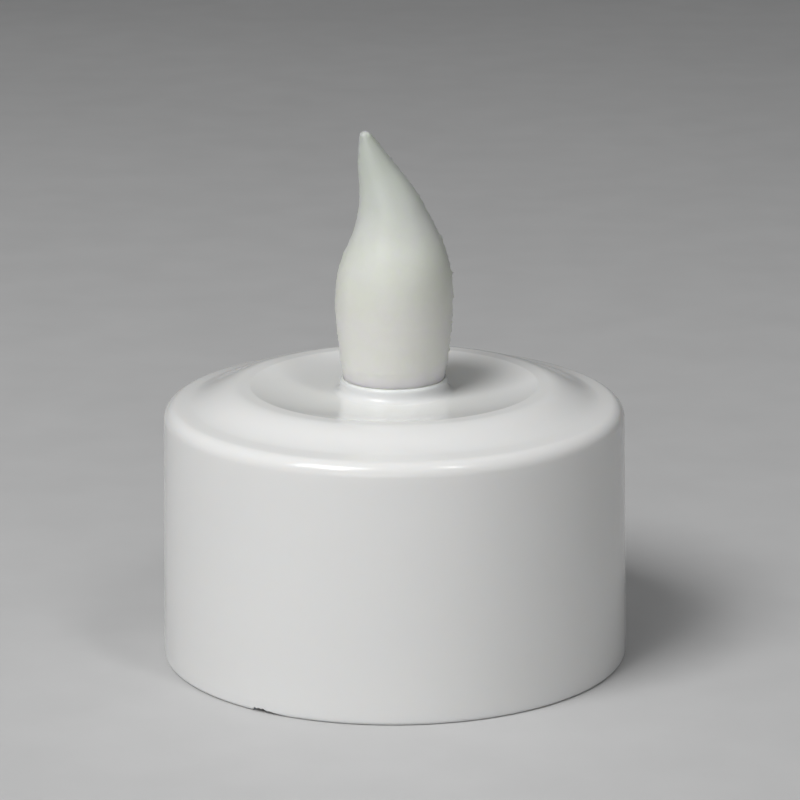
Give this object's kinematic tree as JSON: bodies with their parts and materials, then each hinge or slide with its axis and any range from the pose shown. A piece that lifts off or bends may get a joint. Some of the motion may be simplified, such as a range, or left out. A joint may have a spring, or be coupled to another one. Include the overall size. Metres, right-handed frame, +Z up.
{
  "type": "flameless led candle",
  "caption": "Flameless LED tea light: round white plastic case with a raised milky flame tip, and a slide switch and screwed battery door underneath.",
  "frame": {"origin": "middle of the foot ring, on the surface that the candle stands on", "axes": "+Z up along the candle's axis, -Y to the front, the flame's tip leans to -X"},
  "size_m": [0.0378, 0.0378, 0.043],
  "materials": {
    "shell_plastic": "glossy warm white moulded plastic",
    "flame_plastic": "milky translucent soft plastic, satin",
    "base_plastic": "white plastic, finely textured",
    "knob_plastic": "black plastic",
    "holder_plastic": "white plastic",
    "led_resin": "clear epoxy",
    "led_phosphor": "yellow phosphor",
    "tinned_metal": "tinned steel",
    "board_laminate": "green solder mask on glass laminate",
    "solder": "bright solder",
    "blob_resin": "black epoxy",
    "chip_resistor": "black chip with tinned ends",
    "chip_capacitor": "tan chip with tinned ends",
    "screw_steel": "zinc-plated steel",
    "retainer_rubber": "black rubber",
    "switch_steel": "tinned sheet steel",
    "phenolic": "brown phenolic laminate",
    "contact_metal": "nickel-plated phosphor bronze",
    "cell_nickel": "nickel-plated steel",
    "gasket_plastic": "grey polypropylene",
    "electrode_pellet": "pressed powder"
  },
  "bodies": {
    "housing": {"outer_shell": "shell_plastic", "flame_diffuser": "flame_plastic", "base_cover": "base_plastic", "led_holder": "holder_plastic", "led_lens": "led_resin", "led_anode_lead": "tinned_metal", "led_cathode_lead": "tinned_metal", "led_die": "led_phosphor", "circuit_board": "board_laminate", "solder_joints": "solder", "flicker_chip": "blob_resin", "chip_resistor": "chip_resistor", "chip_capacitor": "chip_capacitor", "board_screws": "screw_steel", "switch_frame": "switch_steel", "switch_base_board": "phenolic", "switch_terminals": "contact_metal", "positive_contact": "contact_metal", "negative_contact": "contact_metal"},
    "switch_slider": {"switch_knob": "knob_plastic", "switch_contact_clip": "contact_metal"},
    "door": {"battery_door": "base_plastic"},
    "captive_screw": {"door_screw": "screw_steel", "screw_retainer": "retainer_rubber"},
    "coin_cell": {"cell_can": "cell_nickel", "cell_gasket": "gasket_plastic", "cell_cap": "cell_nickel", "cell_electrodes": "electrode_pellet"}
  },
  "joints": [
    {"name": "switch_slide", "type": "slide", "parent": "housing", "child": "switch_slider", "axis": [1, 0, 0], "range_m": [0, 0.002]},
    {"name": "door_hinge", "type": "hinge", "parent": "housing", "child": "door", "pos_m": [0, -0.01535, 0.00225], "axis": [-1, 0, 0], "range_deg": [0, 70]},
    {"name": "door_screw_turn", "type": "hinge", "parent": "door", "child": "captive_screw", "pos_m": [0, 0.0081, 0.002], "axis": [0, 0, 1], "continuous": true},
    {"name": "cell_tilt", "type": "hinge", "parent": "housing", "child": "coin_cell", "pos_m": [0, -0.0146, 0.003], "axis": [-1, 0, 0], "range_deg": [0, 42]}
  ],
  "couplings": [
    {"joint": "cell_tilt", "follows": "door_hinge", "ratio": 0.6}
  ]
}
